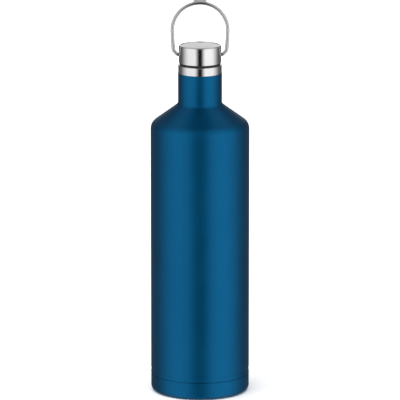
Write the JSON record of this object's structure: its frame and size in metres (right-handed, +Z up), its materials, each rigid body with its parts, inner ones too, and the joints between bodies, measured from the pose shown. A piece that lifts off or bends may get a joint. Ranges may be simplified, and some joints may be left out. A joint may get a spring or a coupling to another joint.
{
  "type": "water bottle",
  "caption": "Slim double-walled steel water bottle with a narrow neck, screw stopper cap and a swinging wire carrying bail.",
  "frame": {"origin": "centre of the foot ring, on the plane that the bottle stands on", "axes": "+Z up along the bottle's axis from foot to cap, X along the bail's pivot axis, Y across the upright bail's plane"},
  "size_m": [0.074, 0.074, 0.2986],
  "materials": {
    "blue_lacquer": "translucent metallic lacquer over steel, glossy",
    "polished_steel": "polished stainless steel",
    "satin_steel": "satin stainless steel",
    "wire_steel": "drawn stainless wire, tumbled",
    "copper_foil": "thin bright copper foil",
    "getter": "sintered pellet",
    "solder_glass": "opaque solder glass bead",
    "black_silicone": "matt silicone",
    "clear_silicone": "milky food-grade silicone",
    "stopper_plastic": "moulded polypropylene",
    "bush_plastic": "moulded acetal",
    "foam": "rigid insulating foam"
  },
  "bodies": {
    "flask": {"outer_shell": "blue_lacquer", "base_cup": "blue_lacquer", "base_disc": "satin_steel", "neck_collar": "polished_steel", "inner_liner": "satin_steel", "liner_bottom": "satin_steel", "radiation_foil": "copper_foil", "getter_pellet": "getter", "getter_clip": "satin_steel", "vacuum_plug": "solder_glass"},
    "gasket": {"neck_gasket": "black_silicone"},
    "cap": {"cap_shell": "polished_steel", "cap_top_plate": "satin_steel", "stopper_body": "stopper_plastic", "stopper_foam": "foam", "stopper_seal": "clear_silicone", "stopper_base_cap": "satin_steel", "pivot_bush_left": "bush_plastic", "pivot_bush_right": "bush_plastic"},
    "bail": {"bail_handle": "wire_steel", "bail_clips": "satin_steel"}
  },
  "joints": [
    {"name": "cap_lift", "type": "slide", "parent": "flask", "child": "gasket", "axis": [0, 0, 1], "range_m": [0, 0.0401]},
    {"name": "cap_turn", "type": "hinge", "parent": "gasket", "child": "cap", "pos_m": [0, 0, 0.2572], "axis": [0, 0, 1], "range_deg": [0, 1800]},
    {"name": "bail_swing", "type": "hinge", "parent": "cap", "child": "bail", "pos_m": [0, 0, 0.2572], "axis": [1, 0, 0], "range_deg": [-150, 150]}
  ],
  "couplings": [
    {"joint": "cap_lift", "follows": "cap_turn", "m_per_rad": 0.0012732}
  ]
}
